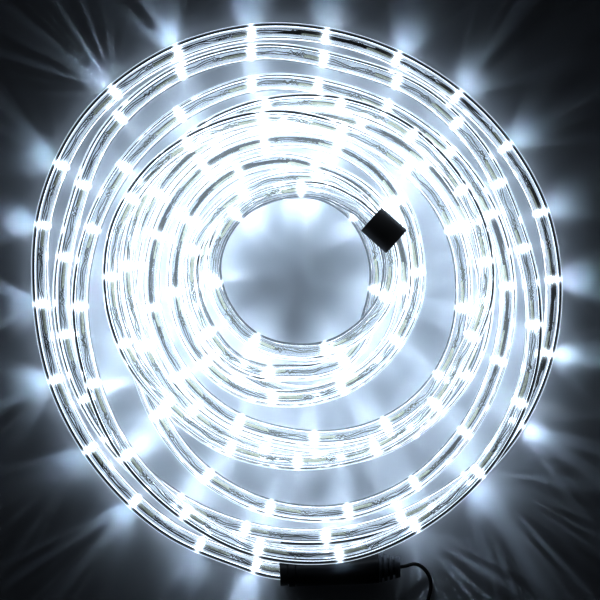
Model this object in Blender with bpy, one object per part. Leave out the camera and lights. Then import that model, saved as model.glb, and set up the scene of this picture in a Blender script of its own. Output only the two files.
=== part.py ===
"""Led rope light: a clear tube with leds in its bore, lying as a loose flat coil.

The coil lies on the floor (z = 0) and is seen from above. Lengths are in metres.
The tube starts in the power connector at the coil's outer edge and runs clockwise inwards,
turn by turn, to the end cap. Some turns lie on others, so the route also has heights.
"""

from math import ceil, cos, pi, radians, sin, sqrt

import bmesh
import bpy
from mathutils import Matrix, Vector

# Gap left between pieces that touch
CLEARANCE = 0.0003

# Tube and what is in its bore
TUBE_DIAMETER = 0.010
BORE_DIAMETER = 0.0052
LED_STRING_DIAMETER = 0.0038

# End cap
CAP_DIAMETER = 0.0174
CAP_LENGTH = 0.019
CAP_SOCKET_DEPTH = 0.010
CAP_CHAMFER = 0.0006

# Clamp nut, screwed on the connector's mouth: a lip, a groove and a wider ring
NUT_LIP_DIAMETER = 0.0169
NUT_LIP_WIDTH = 0.0042
NUT_GROOVE_WIDTH = 0.0006
NUT_GROOVE_DEPTH = 0.0007
NUT_RING_DIAMETER = 0.0184
NUT_RING_WIDTH = 0.0037

# Power connector behind the nut
CONNECTOR_DIAMETER = 0.0178
CONNECTOR_LENGTH = 0.0469
CONNECTOR_SOCKET_DEPTH = 0.0055

# Boot that keeps the lead from kinking: a spigot in the connector and a slotted taper
BOOT_LENGTH = 0.0117
BOOT_ROOT_DIAMETER = 0.0172
BOOT_END_DIAMETER = 0.0114
BOOT_SPIGOT_DIAMETER = 0.0080
BOOT_SPIGOT_LENGTH = 0.004
BOOT_SLOTS = 3
BOOT_FIRST_SLOT = 0.0012
BOOT_SLOT_WIDTH = 0.0014
BOOT_RIB_WIDTH = 0.0017
BOOT_SLOT_DEPTH = 0.0015

# Supply lead
LEAD_DIAMETER = 0.002
LEAD_SOCKET_DEPTH = 0.004

# The part of the lead that the picture doesn't show, put away as a neat coil
COIL_MEAN_RADIUS = 0.0118
COIL_COLUMNS = 5
COIL_LAYERS = 4
COIL_DROP = 0.017
TAIL_RUN = 0.024

# Barrel plug on the lead's far end
PLUG_BODY_DIAMETER = 0.0098
PLUG_BODY_LENGTH = 0.022
PLUG_NECK_DIAMETER = 0.0052
PLUG_NECK_LENGTH = 0.009
PLUG_BARREL_DIAMETER = 0.0055
PLUG_BARREL_LENGTH = 0.0095
PLUG_BARREL_BORE = 0.0025
PLUG_SOCKET_DEPTH = 0.004

# Facets of the sections, and how far a straight facet may stray from a bend
TUBE_SIDES = 8
STRING_SIDES = 4
TURNED_SIDES = 24
COIL_SIDES = 48
TUBE_SAGITTA = 0.00045
TUBE_FACET = 0.025
LEAD_SAGITTA = 0.0001
LEAD_FACET = 0.005

# Route of the tube, read by eye from a picture taken from above.
# Plan distances are in picture units from the coil's centre, and the tube is TUBE_UNITS wide.
TUBE_UNITS = 17.76
UNIT = TUBE_DIAMETER / TUBE_UNITS
COIL_CENTRE = (0.0035, 0.00426)
FIRST_ANGLE = 260
ANGLE_STEP = 20

# Distance from the coil's centre to the middle of the tube, turn by turn from the outside.
# Each turn starts at 260 degrees and runs clockwise.
TURN_RADII = (
    (273, 268, 262.5, 261, 262.5, 272.5, 279, 276.5, 269.5,
     260.5, 254.5, 252.5, 253, 251, 249.5, 248, 243.5, 241.5),
    (240, 239.5, 239.5, 240.5, 242, 244, 255.5, 256.5, 249.5,
     237, 235.5, 230, 224.5, 230, 238.5, 245.5, 252, 258.5),
    (255.5, 244.5, 235, 226, 223, 221.5, 221, 220.5, 218.5,
     209.5, 206, 205.5, 205.5, 205.5, 206.5, 211.5, 217.5, 219),
    (213, 202, 188, 177, 173, 177, 181, 182.5, 182,
     182.5, 183, 182.5, 182.5, 183, 181.5, 176, 170, 164),
    (159.5, 159, 161, 164.5, 173.5, 183.5, 190, 193.5, 194.5,
     195.5, 195, 191.5, 188.5, 182, 170.5, 169.5, 167.5, 164.5),
    (165, 168, 171.5, 181, 190, 196.5, 195, 188, 181,
     171.5, 167, 166, 164, 161, 160, 157, 151, 144),
    (139.5, 140.5, 142.5, 146.5, 152, 157, 162, 163.5, 160,
     155, 146, 132.5, 120, 112, 104, 99.5, 98, 99),
    (103, 110, 116, 121.5, 127, 133.5, 141, 143, 139,
     128.5, 122, 115, 107.5, 102, 99, 97, 96.5, 97),
    (96, 95, 97.5, 103, 107, 110.5, 109.5, 108, 108,
     106.5, 99.5, 89, 80, 72.5, 70, 73, 75.5, 75),
    (76.5, 86, 94.5, 100.5, 109, 118, 120.5, 121, 121,
     119, 112, 103, 94, 83, 71.5, 63, 58, 55.5),
    (55.5, 59.5, 66, 74, 84.5, 96, 103.5, 108, 108,
     108, 105),
)

# Height of the middle of the tube in tube diameters, by turn and angle, where it is off the floor.
# The first points are where it comes down from the connector; the others lie on lower turns.
ON_FLOOR = 0.5
LIFTED = {
    1: {260: 0.70},
    2: {0: 0.62, 340: 1.40, 320: 1.54, 300: 1.58},
    3: {240: 1.56, 220: 1.54, 200: 1.22, 180: 0.74},
    5: {200: 1.33, 180: 1.54, 160: 1.48, 140: 1.41, 120: 1.34, 100: 1.30, 80: 1.29,
        60: 1.34, 40: 1.40, 20: 1.50, 0: 1.54, 340: 1.38, 320: 1.50, 300: 1.54, 280: 1.54},
    6: {260: 1.50, 240: 1.42, 220: 1.42, 200: 1.90, 180: 2.10, 160: 2.26, 140: 2.42,
        120: 2.34, 100: 2.02, 80: 1.38, 60: 1.02, 40: 0.98, 20: 0.60},
    7: {40: 0.92, 20: 1.30, 0: 1.40, 340: 1.50, 320: 1.54, 300: 1.54, 280: 1.54},
    8: {260: 1.50, 240: 1.15, 220: 0.75},
    10: {260: 0.90, 240: 1.44, 220: 1.52, 200: 1.54, 180: 1.54, 160: 1.46, 140: 1.34,
         120: 1.27, 100: 1.26, 80: 1.40, 60: 1.40, 40: 1.34, 20: 1.28, 0: 1.38,
         340: 1.54, 320: 1.44, 300: 0.95},
    11: {180: 0.58, 160: 1.18, 140: 1.76, 120: 2.04, 100: 2.08, 80: 2.28, 60: 2.50},
}

# Where two turns cross the connector: how far beside its axis, in picture units.
CROSSES_CONNECTOR = {2: {280: 13.5}, 3: {260: 15.0}}

# Mouths of the clamp nut and the end cap on plan, and the ways that they point from there.
NUT_MOUTH = (-23, -274)
CONNECTOR_DIRECTION = (120, 4)
CAP_MOUTH = (67.8, 77.5)
CAP_DIRECTION = (25, -22.5)

CONNECTOR_AXIS_HEIGHT = NUT_RING_DIAMETER / 2
CAP_AXIS_HEIGHT = (LIFTED[10][60] + ON_FLOOR) * TUBE_DIAMETER + CAP_DIAMETER / 2 + CLEARANCE

# The lead from the boot's end to its coil: place on plan, and height in metres.
LEAD_ROUTE = (
    ((103.5, -269.0), 0.0085),
    ((110.0, -267.2), 0.0074),
    ((116.5, -268.6), 0.0054),
    ((122.3, -273.3), 0.0035),
    ((126.4, -279.7), 0.0021),
    ((128.2, -286.8), 0.0013),
    ((128.0, -293.9), 0.0010),
    ((125.5, -303.0), 0.0010),
    ((123.4, -313.0), 0.0010),
)


def clear_scene():
    for old in list(bpy.data.objects):
        bpy.data.objects.remove(old, do_unlink=True)


def material(name, colour, roughness, alpha=1.0):
    made = bpy.data.materials.new(name)
    made.use_nodes = True
    shader = made.node_tree.nodes["Principled BSDF"]
    shader.inputs["Base Color"].default_value = (*colour, 1.0)
    shader.inputs["Roughness"].default_value = roughness
    shader.inputs["Alpha"].default_value = alpha
    return made


def clear_pvc():
    return material("clear_pvc", (0.86, 0.91, 0.96), 0.08, alpha=0.3)


def led_white():
    return material("led_white", (0.90, 0.95, 1.0), 0.3)


def black_plastic(name):
    return material(name, (0.018, 0.018, 0.022), 0.4)


def black_rubber(name):
    return material(name, (0.015, 0.015, 0.018), 0.55)


def add_object(name, data, look):
    data.materials.append(look)
    made = bpy.data.objects.new(name, data)
    bpy.context.scene.collection.objects.link(made)
    return made


def on_plan(units, height):
    """A point given in picture units from the coil's centre, at a height in metres."""
    return Vector((COIL_CENTRE[0] + units[0] * UNIT, COIL_CENTRE[1] + units[1] * UNIT, height))


def nut_length():
    return NUT_LIP_WIDTH + NUT_GROOVE_WIDTH + NUT_RING_WIDTH


def connector_way():
    return Vector((*CONNECTOR_DIRECTION, 0)).normalized()


def cap_way():
    return Vector((*CAP_DIRECTION, 0)).normalized()


def on_connector_axis(along):
    """The point of the connector's axis at a distance from the nut's mouth."""
    return on_plan(NUT_MOUTH, CONNECTOR_AXIS_HEIGHT) + along * connector_way()


def height_on_connector(side_units):
    """Height of the tube's middle where it rests on the connector, beside its axis."""
    reach = (NUT_RING_DIAMETER + TUBE_DIAMETER) / 2 + CLEARANCE
    side = side_units * UNIT
    return CONNECTOR_AXIS_HEIGHT + sqrt(reach**2 - side**2)


def turn_height(turn, angle):
    side_units = CROSSES_CONNECTOR.get(turn, {}).get(angle)
    if side_units is not None:
        return height_on_connector(side_units)
    return LIFTED.get(turn, {}).get(angle, ON_FLOOR) * TUBE_DIAMETER


def tube_route():
    """The points that the tube's middle line passes through, from connector to cap."""
    socket_floor = nut_length() + CLEARANCE + CONNECTOR_SOCKET_DEPTH
    points = [on_connector_axis(socket_floor - CLEARANCE), on_connector_axis(0)]
    for turn, radii in enumerate(TURN_RADII, start=1):
        for step, radius in enumerate(radii):
            angle = (FIRST_ANGLE - step * ANGLE_STEP) % 360
            plan = (radius * cos(radians(angle)), radius * sin(radians(angle)))
            points.append(on_plan(plan, turn_height(turn, angle)))
    cap_mouth = on_plan(CAP_MOUTH, CAP_AXIS_HEIGHT)
    return points + [cap_mouth, cap_mouth + (CAP_SOCKET_DEPTH - CLEARANCE) * cap_way()]


def route_slopes(points, knots):
    """The route's direction at each point. Its height neither dips nor peaks between points."""
    slopes = []
    for index in range(len(points)):
        low = max(index - 1, 0)
        high = min(index + 1, len(points) - 1)
        slope = (points[high] - points[low]) / (knots[high] - knots[low])
        rise_in = points[index].z - points[low].z
        rise_out = points[high].z - points[index].z
        if rise_in * rise_out <= 0:
            slope.z = 0
        slopes.append(slope)
    return slopes


def smooth_path(points, facet, sagitta):
    """Points on a smooth curve through the route's points, as close as its facets must be."""
    knots = [0]
    for before, after in zip(points, points[1:]):
        knots.append(knots[-1] + (after - before).length)
    slopes = route_slopes(points, knots)
    path = []
    for index in range(len(points) - 1):
        span = knots[index + 1] - knots[index]
        bend = slopes[index].angle(slopes[index + 1])
        steps = max(ceil(span / facet), round(sqrt(span * bend / (8 * sagitta))), 1)
        for step in range(steps):
            t = step / steps
            path.append(
                points[index] * (2 * t**3 - 3 * t**2 + 1)
                + slopes[index] * span * (t**3 - 2 * t**2 + t)
                + points[index + 1] * (3 * t**2 - 2 * t**3)
                + slopes[index + 1] * span * (t**3 - t**2)
            )
    path.append(points[-1])
    return path


def tube_path():
    return smooth_path(tube_route(), TUBE_FACET, TUBE_SAGITTA)


def add_ring(bm, centre, side, up, radius, sides):
    """A polygon of vertices round a centre, with a corner at its foot."""
    ring = []
    for corner in range(sides):
        angle = 2 * pi * corner / sides
        ring.append(bm.verts.new(centre + radius * (sin(angle) * side + cos(angle) * up)))
    return ring


def bridge(bm, first, second):
    for corner in range(len(first)):
        bm.faces.new((first[corner - 1], first[corner], second[corner], second[corner - 1]))


def path_rings(bm, path, radius, sides):
    rings = []
    for index, centre in enumerate(path):
        before = path[max(index - 1, 0)]
        after = path[min(index + 1, len(path) - 1)]
        along = (after - before).normalized()
        side = along.cross(Vector((0, 0, 1))).normalized()
        rings.append(add_ring(bm, centre, side, side.cross(along), radius, sides))
    for first, second in zip(rings, rings[1:]):
        bridge(bm, first, second)
    return rings


def finish_mesh(name, bm):
    bmesh.ops.recalc_face_normals(bm, faces=bm.faces)
    mesh = bpy.data.meshes.new(name)
    bm.to_mesh(mesh)
    bm.free()
    mesh.shade_smooth()
    mesh.set_sharp_from_angle(angle=radians(50))
    return mesh


def turned_solid(name, profile):
    """A solid turned round +X from (distance along X, radius) points; a radius of 0 closes an end."""
    bm = bmesh.new()
    side = Vector((0, 1, 0))
    up = Vector((0, 0, 1))
    rings = []
    for along, radius in profile:
        if radius:
            rings.append(add_ring(bm, Vector((along, 0, 0)), side, up, radius, TURNED_SIDES))
    for first, second in zip(rings, rings[1:]):
        bridge(bm, first, second)
    if profile[0][1] == 0:
        bm.faces.new(rings[0])
        bm.faces.new(rings[-1])
    else:
        bridge(bm, rings[-1], rings[0])
    return finish_mesh(name, bm)


def aim(made, start, along):
    """Put an object's +X axis on a level line."""
    up = Vector((0, 0, 1))
    side = up.cross(along)
    made.matrix_world = Matrix.Translation(start) @ Matrix((along, side, up)).transposed().to_4x4()
    return made


def add_light_tube():
    bm = bmesh.new()
    path = tube_path()
    outside = path_rings(bm, path, TUBE_DIAMETER / 2, TUBE_SIDES)
    bore = path_rings(bm, path, BORE_DIAMETER / 2, TUBE_SIDES)
    bridge(bm, outside[0], bore[0])
    bridge(bm, outside[-1], bore[-1])
    return add_object("light_tube", finish_mesh("light_tube", bm), clear_pvc())


def add_led_string():
    bm = bmesh.new()
    rings = path_rings(bm, tube_path(), LED_STRING_DIAMETER / 2, STRING_SIDES)
    bm.faces.new(rings[0])
    bm.faces.new(rings[-1])
    return add_object("led_string", finish_mesh("led_string", bm), led_white())


def add_end_cap():
    socket = TUBE_DIAMETER / 2 + CLEARANCE
    outside = CAP_DIAMETER / 2
    profile = (
        (CAP_SOCKET_DEPTH, 0),
        (CAP_SOCKET_DEPTH, socket),
        (0, socket),
        (0, outside - CAP_CHAMFER),
        (CAP_CHAMFER, outside),
        (CAP_LENGTH - CAP_CHAMFER, outside),
        (CAP_LENGTH, outside - CAP_CHAMFER),
        (CAP_LENGTH, 0),
    )
    cap = add_object("end_cap", turned_solid("end_cap", profile), black_plastic("cap_plastic"))
    return aim(cap, on_plan(CAP_MOUTH, CAP_AXIS_HEIGHT), cap_way())


def add_clamp_nut():
    bore = TUBE_DIAMETER / 2 + CLEARANCE
    lip = NUT_LIP_DIAMETER / 2
    ring = NUT_RING_DIAMETER / 2
    groove = lip - NUT_GROOVE_DEPTH
    ring_start = NUT_LIP_WIDTH + NUT_GROOVE_WIDTH
    profile = (
        (0, bore),
        (0, lip),
        (NUT_LIP_WIDTH, lip),
        (NUT_LIP_WIDTH, groove),
        (ring_start, groove),
        (ring_start, ring),
        (nut_length(), ring),
        (nut_length(), bore),
    )
    nut = add_object("clamp_nut", turned_solid("clamp_nut", profile), black_plastic("nut_plastic"))
    return aim(nut, on_connector_axis(0), connector_way())


def add_power_connector():
    outside = CONNECTOR_DIAMETER / 2
    socket = TUBE_DIAMETER / 2 + CLEARANCE
    recess = BOOT_SPIGOT_DIAMETER / 2 + CLEARANCE
    recess_floor = CONNECTOR_LENGTH - BOOT_SPIGOT_LENGTH
    profile = (
        (CONNECTOR_SOCKET_DEPTH, 0),
        (CONNECTOR_SOCKET_DEPTH, socket),
        (0, socket),
        (0, outside),
        (CONNECTOR_LENGTH, outside),
        (CONNECTOR_LENGTH, recess),
        (recess_floor, recess),
        (recess_floor, 0),
    )
    mesh = turned_solid("power_connector", profile)
    connector = add_object("power_connector", mesh, black_plastic("connector_plastic"))
    return aim(connector, on_connector_axis(nut_length() + CLEARANCE), connector_way())


def boot_start():
    """Distance from the nut's mouth to the boot's root."""
    return nut_length() + CLEARANCE + CONNECTOR_LENGTH + CLEARANCE


def boot_outside():
    """The boot's slotted taper, as (distance along, radius) points."""
    root = BOOT_ROOT_DIAMETER / 2
    taper = (BOOT_ROOT_DIAMETER - BOOT_END_DIAMETER) / 2 / BOOT_LENGTH
    points = [(0, root)]
    for slot in range(BOOT_SLOTS):
        start = BOOT_FIRST_SLOT + slot * (BOOT_SLOT_WIDTH + BOOT_RIB_WIDTH)
        end = start + BOOT_SLOT_WIDTH
        points.append((start, root - taper * start))
        points.append((start, root - taper * start - BOOT_SLOT_DEPTH))
        points.append((end, root - taper * end - BOOT_SLOT_DEPTH))
        points.append((end, root - taper * end))
    points.append((BOOT_LENGTH, BOOT_END_DIAMETER / 2))
    return points


def add_strain_relief():
    spigot = BOOT_SPIGOT_DIAMETER / 2
    hole = LEAD_DIAMETER / 2 + CLEARANCE
    hole_floor = BOOT_LENGTH - LEAD_SOCKET_DEPTH
    profile = (
        (-BOOT_SPIGOT_LENGTH, 0),
        (-BOOT_SPIGOT_LENGTH, spigot),
        (0, spigot),
        *boot_outside(),
        (BOOT_LENGTH, hole),
        (hole_floor, hole),
        (hole_floor, 0),
    )
    mesh = turned_solid("strain_relief", profile)
    boot = add_object("strain_relief", mesh, black_rubber("boot_rubber"))
    return aim(boot, on_connector_axis(boot_start()), connector_way())


def coil_inner():
    return COIL_MEAN_RADIUS - COIL_COLUMNS * LEAD_DIAMETER / 2


def coil_outer():
    return COIL_MEAN_RADIUS + COIL_COLUMNS * LEAD_DIAMETER / 2


def coil_height():
    return COIL_LAYERS * LEAD_DIAMETER


def coil_reach():
    """How far beyond the coil's centre line a lead that runs into its outermost turn stops."""
    return sqrt((coil_outer() + CLEARANCE) ** 2 - (coil_outer() - LEAD_DIAMETER) ** 2)


def coil_centre():
    """The coil lies so that the lead's route runs straight into its outermost turn."""
    last = on_plan(*LEAD_ROUTE[-1])
    return Vector((last.x - coil_outer() + LEAD_DIAMETER / 2, last.y - COIL_DROP, 0))


def lead_points():
    """The lead from inside the boot to its coil, which it meets running in -Y."""
    boot_end = boot_start() + BOOT_LENGTH
    points = [on_connector_axis(boot_end - LEAD_SOCKET_DEPTH + CLEARANCE), on_connector_axis(boot_end)]
    points += [on_plan(units, height) for units, height in LEAD_ROUTE]
    return points + [Vector((points[-1].x, coil_centre().y + coil_reach(), LEAD_DIAMETER / 2))]


def tail_points():
    """The lead from the coil's top layer down to the plug and into it, running in -X."""
    centre = coil_centre()
    start_x = centre.x - coil_reach()
    y = centre.y - coil_outer() + LEAD_DIAMETER / 2
    top = coil_height() - LEAD_DIAMETER / 2
    plug_axis = PLUG_BODY_DIAMETER / 2
    return [
        Vector((start_x, y, top)),
        Vector((start_x - TAIL_RUN / 3, y, top - (top - plug_axis) / 3)),
        Vector((start_x - TAIL_RUN * 2 / 3, y, plug_axis)),
        Vector((start_x - TAIL_RUN, y, plug_axis)),
        Vector((start_x - TAIL_RUN - PLUG_SOCKET_DEPTH + CLEARANCE, y, plug_axis)),
    ]


def add_lead(name, points, look):
    """A stretch of the lead, as a round bevel along a smooth path with closed ends."""
    path = smooth_path(points, LEAD_FACET, LEAD_SAGITTA)
    curve = bpy.data.curves.new(name, "CURVE")
    curve.dimensions = "3D"
    curve.bevel_depth = LEAD_DIAMETER / 2
    curve.bevel_resolution = 2
    curve.use_fill_caps = True
    spline = curve.splines.new("POLY")
    spline.points.add(len(path) - 1)
    for point, place in zip(spline.points, path):
        point.co = (*place, 1)
    return add_object(name, curve, look)


def add_lead_coil():
    bm = bmesh.new()
    foot = Vector((0, 0, 0))
    top = Vector((0, 0, coil_height()))
    side = Vector((1, 0, 0))
    back = Vector((0, 1, 0))
    rings = [
        add_ring(bm, foot, side, back, coil_inner(), COIL_SIDES),
        add_ring(bm, foot, side, back, coil_outer(), COIL_SIDES),
        add_ring(bm, top, side, back, coil_outer(), COIL_SIDES),
        add_ring(bm, top, side, back, coil_inner(), COIL_SIDES),
    ]
    for index in range(len(rings)):
        bridge(bm, rings[index - 1], rings[index])
    coil = add_object("lead_coil", finish_mesh("lead_coil", bm), black_rubber("coil_rubber"))
    coil.location = coil_centre()
    return coil


def add_supply_plug():
    body = PLUG_BODY_DIAMETER / 2
    neck = PLUG_NECK_DIAMETER / 2
    barrel = PLUG_BARREL_DIAMETER / 2
    hole = LEAD_DIAMETER / 2 + CLEARANCE
    body_end = PLUG_NECK_LENGTH + PLUG_BODY_LENGTH
    tip = body_end + PLUG_BARREL_LENGTH
    profile = (
        (PLUG_SOCKET_DEPTH, 0),
        (PLUG_SOCKET_DEPTH, hole),
        (0, hole),
        (0, neck),
        (PLUG_NECK_LENGTH, neck),
        (PLUG_NECK_LENGTH, body),
        (body_end, body),
        (body_end, barrel),
        (tip, barrel),
        (tip, PLUG_BARREL_BORE / 2),
        (body_end, PLUG_BARREL_BORE / 2),
        (body_end, 0),
    )
    mesh = turned_solid("supply_plug", profile)
    plug = add_object("supply_plug", mesh, black_plastic("plug_plastic"))
    return aim(plug, tail_points()[-2], Vector((-1, 0, 0)))


def main():
    clear_scene()
    add_light_tube()
    add_led_string()
    add_end_cap()
    add_clamp_nut()
    add_power_connector()
    add_strain_relief()
    add_lead("supply_lead", lead_points(), black_rubber("lead_rubber"))
    add_lead_coil()
    add_lead("lead_tail", tail_points(), black_rubber("tail_rubber"))
    add_supply_plug()


main()
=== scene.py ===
"""Visual model of the led rope light: clear tube, led chain, fittings and supply lead.

Lengths are in metres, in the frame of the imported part. The route's numbers are those of the
part's own source, because the pieces here lie where its solids are.
"""

from math import ceil, cos, pi, radians, sin, sqrt

import bpy
import numpy as np
from mathutils import Matrix, Vector


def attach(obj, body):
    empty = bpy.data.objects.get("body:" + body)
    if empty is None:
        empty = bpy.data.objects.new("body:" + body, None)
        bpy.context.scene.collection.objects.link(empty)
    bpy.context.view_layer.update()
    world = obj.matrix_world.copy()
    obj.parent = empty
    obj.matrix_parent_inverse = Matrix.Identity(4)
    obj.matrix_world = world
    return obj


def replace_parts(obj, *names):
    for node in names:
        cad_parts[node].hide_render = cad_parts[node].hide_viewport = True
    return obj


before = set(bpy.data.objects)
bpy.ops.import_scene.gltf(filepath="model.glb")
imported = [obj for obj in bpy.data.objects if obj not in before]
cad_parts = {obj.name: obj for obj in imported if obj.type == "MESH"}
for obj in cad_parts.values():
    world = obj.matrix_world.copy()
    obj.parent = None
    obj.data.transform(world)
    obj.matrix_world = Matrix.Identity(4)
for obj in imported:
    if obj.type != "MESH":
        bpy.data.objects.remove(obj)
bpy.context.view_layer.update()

# Sizes that the part's solids have too
CLEARANCE = 0.0003
TUBE_DIAMETER = 0.010
BORE_DIAMETER = 0.0052
CAP_DIAMETER = 0.0174
CAP_LENGTH = 0.019
CAP_SOCKET_DEPTH = 0.010
NUT_LIP_DIAMETER = 0.0169
NUT_LIP_WIDTH = 0.0042
NUT_GROOVE_WIDTH = 0.0006
NUT_GROOVE_DEPTH = 0.0007
NUT_RING_DIAMETER = 0.0184
NUT_RING_WIDTH = 0.0037
CONNECTOR_DIAMETER = 0.0178
CONNECTOR_LENGTH = 0.0469
CONNECTOR_SOCKET_DEPTH = 0.0055
BOOT_LENGTH = 0.0117
BOOT_ROOT_DIAMETER = 0.0172
BOOT_END_DIAMETER = 0.0114
BOOT_SLOTS = 3
BOOT_FIRST_SLOT = 0.0012
BOOT_SLOT_WIDTH = 0.0014
BOOT_RIB_WIDTH = 0.0017
LEAD_DIAMETER = 0.002
COIL_MEAN_RADIUS = 0.0118
COIL_COLUMNS = 5
COIL_LAYERS = 4
COIL_DROP = 0.017
TAIL_RUN = 0.024
PLUG_BODY_DIAMETER = 0.0098
PLUG_BODY_LENGTH = 0.022
PLUG_NECK_DIAMETER = 0.0052
PLUG_NECK_LENGTH = 0.009
PLUG_BARREL_DIAMETER = 0.0055
PLUG_BARREL_LENGTH = 0.0095
PLUG_BARREL_BORE = 0.0025
PLUG_SOCKET_DEPTH = 0.004

# Route of the tube, as in the part's source
TUBE_UNITS = 17.76
UNIT = TUBE_DIAMETER / TUBE_UNITS
COIL_CENTRE = (0.0035, 0.00426)
FIRST_ANGLE = 260
ANGLE_STEP = 20
TURN_RADII = (
    (273, 268, 262.5, 261, 262.5, 272.5, 279, 276.5, 269.5,
     260.5, 254.5, 252.5, 253, 251, 249.5, 248, 243.5, 241.5),
    (240, 239.5, 239.5, 240.5, 242, 244, 255.5, 256.5, 249.5,
     237, 235.5, 230, 224.5, 230, 238.5, 245.5, 252, 258.5),
    (255.5, 244.5, 235, 226, 223, 221.5, 221, 220.5, 218.5,
     209.5, 206, 205.5, 205.5, 205.5, 206.5, 211.5, 217.5, 219),
    (213, 202, 188, 177, 173, 177, 181, 182.5, 182,
     182.5, 183, 182.5, 182.5, 183, 181.5, 176, 170, 164),
    (159.5, 159, 161, 164.5, 173.5, 183.5, 190, 193.5, 194.5,
     195.5, 195, 191.5, 188.5, 182, 170.5, 169.5, 167.5, 164.5),
    (165, 168, 171.5, 181, 190, 196.5, 195, 188, 181,
     171.5, 167, 166, 164, 161, 160, 157, 151, 144),
    (139.5, 140.5, 142.5, 146.5, 152, 157, 162, 163.5, 160,
     155, 146, 132.5, 120, 112, 104, 99.5, 98, 99),
    (103, 110, 116, 121.5, 127, 133.5, 141, 143, 139,
     128.5, 122, 115, 107.5, 102, 99, 97, 96.5, 97),
    (96, 95, 97.5, 103, 107, 110.5, 109.5, 108, 108,
     106.5, 99.5, 89, 80, 72.5, 70, 73, 75.5, 75),
    (76.5, 86, 94.5, 100.5, 109, 118, 120.5, 121, 121,
     119, 112, 103, 94, 83, 71.5, 63, 58, 55.5),
    (55.5, 59.5, 66, 74, 84.5, 96, 103.5, 108, 108,
     108, 105),
)
ON_FLOOR = 0.5
LIFTED = {
    1: {260: 0.70},
    2: {0: 0.62, 340: 1.40, 320: 1.54, 300: 1.58},
    3: {240: 1.56, 220: 1.54, 200: 1.22, 180: 0.74},
    5: {200: 1.33, 180: 1.54, 160: 1.48, 140: 1.41, 120: 1.34, 100: 1.30, 80: 1.29,
        60: 1.34, 40: 1.40, 20: 1.50, 0: 1.54, 340: 1.38, 320: 1.50, 300: 1.54, 280: 1.54},
    6: {260: 1.50, 240: 1.42, 220: 1.42, 200: 1.90, 180: 2.10, 160: 2.26, 140: 2.42,
        120: 2.34, 100: 2.02, 80: 1.38, 60: 1.02, 40: 0.98, 20: 0.60},
    7: {40: 0.92, 20: 1.30, 0: 1.40, 340: 1.50, 320: 1.54, 300: 1.54, 280: 1.54},
    8: {260: 1.50, 240: 1.15, 220: 0.75},
    10: {260: 0.90, 240: 1.44, 220: 1.52, 200: 1.54, 180: 1.54, 160: 1.46, 140: 1.34,
         120: 1.27, 100: 1.26, 80: 1.40, 60: 1.40, 40: 1.34, 20: 1.28, 0: 1.38,
         340: 1.54, 320: 1.44, 300: 0.95},
    11: {180: 0.58, 160: 1.18, 140: 1.76, 120: 2.04, 100: 2.08, 80: 2.28, 60: 2.50},
}
CROSSES_CONNECTOR = {2: {280: 13.5}, 3: {260: 15.0}}
NUT_MOUTH = (-23, -274)
CONNECTOR_DIRECTION = (120, 4)
CAP_MOUTH = (67.8, 77.5)
CAP_DIRECTION = (25, -22.5)
CONNECTOR_AXIS_HEIGHT = NUT_RING_DIAMETER / 2
CAP_AXIS_HEIGHT = (LIFTED[10][60] + ON_FLOOR) * TUBE_DIAMETER + CAP_DIAMETER / 2 + CLEARANCE
LEAD_ROUTE = (
    ((103.5, -269.0), 0.0085),
    ((110.0, -267.2), 0.0074),
    ((116.5, -268.6), 0.0054),
    ((122.3, -273.3), 0.0035),
    ((126.4, -279.7), 0.0021),
    ((128.2, -286.8), 0.0013),
    ((128.0, -293.9), 0.0010),
    ((125.5, -303.0), 0.0010),
    ((123.4, -313.0), 0.0010),
)

# Picture: its middle in picture units from the coil's centre, and its width
PICTURE_MIDDLE = (-3, -3)
PICTURE_UNITS = 600
CAMERA_HEIGHT = 3.0

# Leds as read: (number of the first, turn, angles of it and the next ones). The leds
# between the rows lie evenly between.
LED_PLACES = (
    (0, 1, (260, 247.5, 230.5, 215.5, 198.5, 181.5, 164.5, 151.5, 132.5, 117, 101)),
    (11, 1, (85, 68.5, 52.5, 36.5, 19.5, 4, 347, 329.5, 312, 294, 275.5)),
    (22, 2, (256, 238.5, 221.5, 205, 189, 170.5, 153, 135.5, 118.5, 102)),
    (32, 2, (85, 66.5, 48.5, 30, 12.5, 353, 334, 315, 296, 278)),
    (42, 3, (260, 241.5, 222, 202.5, 182.5, 162, 144, 124, 103.5, 86)),
    (52, 3, (66, 44.5, 23.5, 3, 342, 320, 301, 282, 261)),
    (61, 4, (242, 219)),
    (75, 5, (256, 226, 197, 170, 145)),
    (82, 5, (79, 56, 34, 11, 347, 321, 295.5, 268)),
    (90, 6, (244.5, 218, 194.5, 174, 150, 127, 103, 77, 51, 24.5, 356, 330, 303, 274.5)),
    (104, 7, (243, 213, 184, 157, 127, 104, 77, 45, 12, 335, 293)),
    (115, 8, (253.5, 214, 177.5, 146, 117, 85)),
    (122, 8, (5, 320, 278)),
    (132, 10, (245, 201, 157, 120, 83)),
    (138, 10, (0, 296)),
    (140, 11, (222, 170.5, 129, 91)),
)

# Leds whose outer side has no turn beyond it
OUTER_LEDS = (*range(20), 39, 40, 41, 42)

# Wires, lenses and sleeves in the tube. The boot's slots are cut deeper here than in the solids,
# so that they show.
BUS_RADIUS = 0.0003
BUS_END_GAP = 0.001
LED_RADIUS = 0.0015
LED_RIM_RADIUS = 0.0017
LED_LENGTH = 0.0036
LED_DOME_START = 0.0021
LED_ASIDE = 0.0009
LEAD_WIRE_RADIUS = 0.00026
LEAD_WIRE_START = 0.004
SLEEVE_RADIUS = 0.001
SLEEVE_LENGTH = 0.0125
SLEEVE_LED_GAP = 0.0004
KNOT_LENGTH = 0.0075
BOOT_SLOT_DEPTH = 0.0022

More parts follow.
